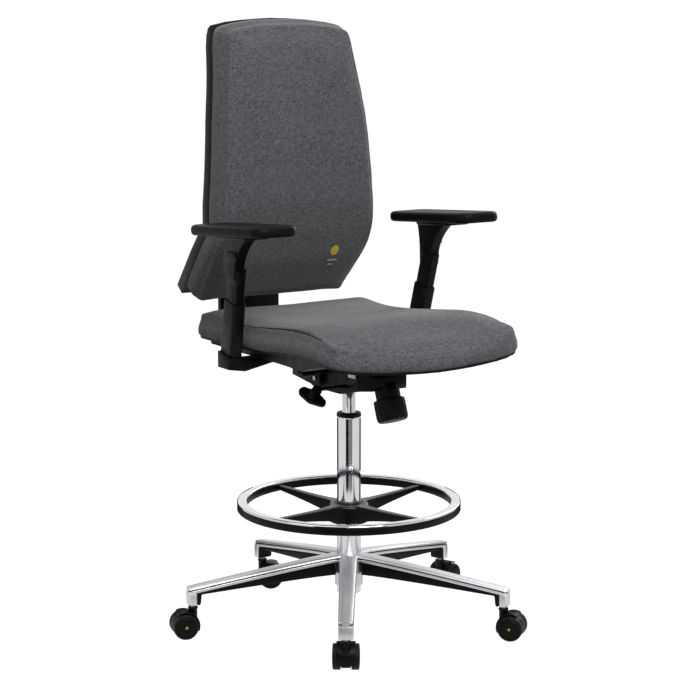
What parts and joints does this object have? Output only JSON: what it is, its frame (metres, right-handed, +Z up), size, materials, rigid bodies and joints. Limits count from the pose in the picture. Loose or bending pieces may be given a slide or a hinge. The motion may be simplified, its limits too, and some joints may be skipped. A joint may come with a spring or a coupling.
{
  "type": "drafting chair",
  "caption": "Tall swivel work chair with a castor star base, gas lift, sliding foot ring, synchro tilt, height-adjustable back and armrests.",
  "frame": {"origin": "on the floor under the column axis", "axes": "+Z up, the chair's front faces -Y, the sitter's left is +X"},
  "size_m": [0.7344, 0.776, 1.247],
  "materials": {
    "alloy": "polished casting",
    "chrome": "polished",
    "steel": "satin",
    "fabric": "woven",
    "satin_grey": "satin",
    "soft_pad": "fine grain",
    "wheel_tread": "matte",
    "black_metal": "powder coat",
    "black_plastic": "fine grain"
  },
  "bodies": {
    "base": {"base_star": "alloy", "base_leg_infills": "black_plastic", "castor_stems": "steel", "lift_outer_tube": "chrome", "lift_tube_collar": "black_plastic", "lift_guide_bush": "black_plastic"},
    "swivel": {"lift_thrust_bearing": "steel", "lift_piston_rod": "steel", "lift_base_clip": "steel"},
    "foot_ring": {"footring_spider": "satin_grey", "footring_rim": "black_plastic", "footring_trim": "chrome", "footring_collet": "black_plastic", "footring_screws": "steel"},
    "mechanism": {"lift_pressure_tube": "chrome", "mech_housing": "black_metal", "mech_spring": "steel", "mech_pivot_pins": "steel"},
    "valve_pin": {"lift_valve_pin": "steel"},
    "tension_knob": {"tension_knob": "black_plastic", "tension_screw": "steel"},
    "lift_lever": {"lift_lever": "black_plastic"},
    "lock_lever": {"lock_lever": "black_plastic"},
    "seat": {"seat_plate": "steel", "seat_pan": "black_plastic", "seat_cushion": "fabric", "seat_screws": "steel", "arm_bracket_left": "black_plastic", "arm_sleeve_left": "black_plastic", "arm_bracket_right": "black_plastic", "arm_sleeve_right": "black_plastic"},
    "back_arm": {"recline_arm": "black_metal", "back_upright": "black_metal"},
    "backrest": {"back_slider": "black_plastic", "back_cover": "black_plastic", "back_shell": "black_plastic", "back_cushion": "fabric", "back_screws": "steel"},
    "arm_left": {"arm_stem_left": "black_plastic", "arm_pad_left": "soft_pad"},
    "arm_button_left": {"arm_button_left": "black_plastic"},
    "arm_right": {"arm_stem_right": "black_plastic", "arm_pad_right": "soft_pad"},
    "arm_button_right": {"arm_button_right": "black_plastic"},
    "castor_1": {"castor_1_hood": "black_plastic", "castor_1_axle": "steel"},
    "castor_1_wheels": {"castor_1_wheels": "wheel_tread"},
    "castor_2": {"castor_2_hood": "black_plastic", "castor_2_axle": "steel"},
    "castor_2_wheels": {"castor_2_wheels": "wheel_tread"},
    "castor_3": {"castor_3_hood": "black_plastic", "castor_3_axle": "steel"},
    "castor_3_wheels": {"castor_3_wheels": "wheel_tread"},
    "castor_4": {"castor_4_hood": "black_plastic", "castor_4_axle": "steel"},
    "castor_4_wheels": {"castor_4_wheels": "wheel_tread"},
    "castor_5": {"castor_5_hood": "black_plastic", "castor_5_axle": "steel"},
    "castor_5_wheels": {"castor_5_wheels": "wheel_tread"}
  },
  "joints": [
    {"name": "foot_ring_slide", "type": "slide", "parent": "base", "child": "foot_ring", "axis": [0, 0, 1], "range_m": [-0.06, 0.1]},
    {"name": "column_swivel", "type": "hinge", "parent": "base", "child": "swivel", "pos_m": [0, 0, 0.07], "axis": [0, 0, 1], "continuous": true},
    {"name": "gas_lift", "type": "slide", "parent": "swivel", "child": "mechanism", "axis": [0, 0, 1], "range_m": [-0.035, 0.2]},
    {"name": "back_recline", "type": "hinge", "parent": "mechanism", "child": "back_arm", "pos_m": [0, 0.02, 0.524], "axis": [-1, 0, 0], "range_deg": [0, 20], "stiffness_Nm_per_rad": 190, "springref_deg": -24.52},
    {"name": "seat_tilt", "type": "hinge", "parent": "mechanism", "child": "seat", "pos_m": [0, -0.112, 0.556], "axis": [-1, 0, 0], "range_deg": [0, 8]},
    {"name": "back_height", "type": "slide", "parent": "back_arm", "child": "backrest", "axis": [0, 0, 1], "range_m": [-0.02, 0.06]},
    {"name": "tension_turn", "type": "hinge", "parent": "mechanism", "child": "tension_knob", "pos_m": [0, -0.145, 0.516], "axis": [0, -0.3584, -0.9336], "range_deg": [-540, 540]},
    {"name": "lift_lever_pull", "type": "hinge", "parent": "mechanism", "child": "lift_lever", "pos_m": [-0.058, -0.078, 0.521], "axis": [-1, 0, 0], "range_deg": [0, 12], "stiffness_Nm_per_rad": 1, "springref_deg": -5.73},
    {"name": "valve_press", "type": "slide", "parent": "mechanism", "child": "valve_pin", "axis": [0, 0, -1], "range_m": [0, 0.0035]},
    {"name": "lock_lever_turn", "type": "hinge", "parent": "mechanism", "child": "lock_lever", "pos_m": [-0.058, -0.016, 0.543], "axis": [1, 0, 0], "range_deg": [-15, 15]},
    {"name": "arm_left_height", "type": "slide", "parent": "seat", "child": "arm_left", "axis": [0.0423, -0.2419, 0.9694], "range_m": [-0.03, 0.05]},
    {"name": "arm_left_button_press", "type": "slide", "parent": "arm_left", "child": "arm_button_left", "axis": [-1, 0, 0], "range_m": [0, 0.003], "stiffness_N_per_m": 900, "springref_m": -0.004},
    {"name": "arm_right_height", "type": "slide", "parent": "seat", "child": "arm_right", "axis": [-0.0423, -0.2419, 0.9694], "range_m": [-0.03, 0.05]},
    {"name": "arm_right_button_press", "type": "slide", "parent": "arm_right", "child": "arm_button_right", "axis": [1, 0, 0], "range_m": [0, 0.003], "stiffness_N_per_m": 900, "springref_m": -0.004},
    {"name": "castor_1_swivel", "type": "hinge", "parent": "base", "child": "castor_1", "pos_m": [-0.18191, -0.28012, 0.05], "axis": [0, 0, 1], "continuous": true},
    {"name": "castor_1_roll", "type": "hinge", "parent": "castor_1", "child": "castor_1_wheels", "pos_m": [-0.17156, -0.26418, 0.026], "axis": [-0.8387, 0.5446, 0], "continuous": true},
    {"name": "castor_2_swivel", "type": "hinge", "parent": "base", "child": "castor_2", "pos_m": [-0.32262, 0.08645, 0.05], "axis": [0, 0, 1], "continuous": true},
    {"name": "castor_2_roll", "type": "hinge", "parent": "castor_2", "child": "castor_2_wheels", "pos_m": [-0.34097, 0.09136, 0.026], "axis": [-0.2588, -0.9659, 0], "continuous": true},
    {"name": "castor_3_swivel", "type": "hinge", "parent": "base", "child": "castor_3", "pos_m": [-0.01748, 0.33354, 0.05], "axis": [0, 0, 1], "continuous": true},
    {"name": "castor_3_roll", "type": "hinge", "parent": "castor_3", "child": "castor_3_wheels", "pos_m": [-0.00137, 0.32347, 0.026], "axis": [0.5299, 0.848, 0], "continuous": true},
    {"name": "castor_4_swivel", "type": "hinge", "parent": "base", "child": "castor_4", "pos_m": [0.31182, 0.11969, 0.05], "axis": [0, 0, 1], "continuous": true},
    {"name": "castor_4_roll", "type": "hinge", "parent": "castor_4", "child": "castor_4_wheels", "pos_m": [0.32955, 0.1265, 0.026], "axis": [-0.3584, 0.9336, 0], "continuous": true},
    {"name": "castor_5_swivel", "type": "hinge", "parent": "base", "child": "castor_5", "pos_m": [0.21019, -0.25957, 0.05], "axis": [0, 0, 1], "continuous": true},
    {"name": "castor_5_roll", "type": "hinge", "parent": "castor_5", "child": "castor_5_wheels", "pos_m": [0.22215, -0.27433, 0.026], "axis": [0.7771, 0.6293, 0], "continuous": true}
  ],
  "couplings": [
    {"joint": "seat_tilt", "follows": "back_recline", "ratio": 0.4},
    {"joint": "valve_press", "follows": "lift_lever_pull", "m_per_rad": 0.0143}
  ]
}
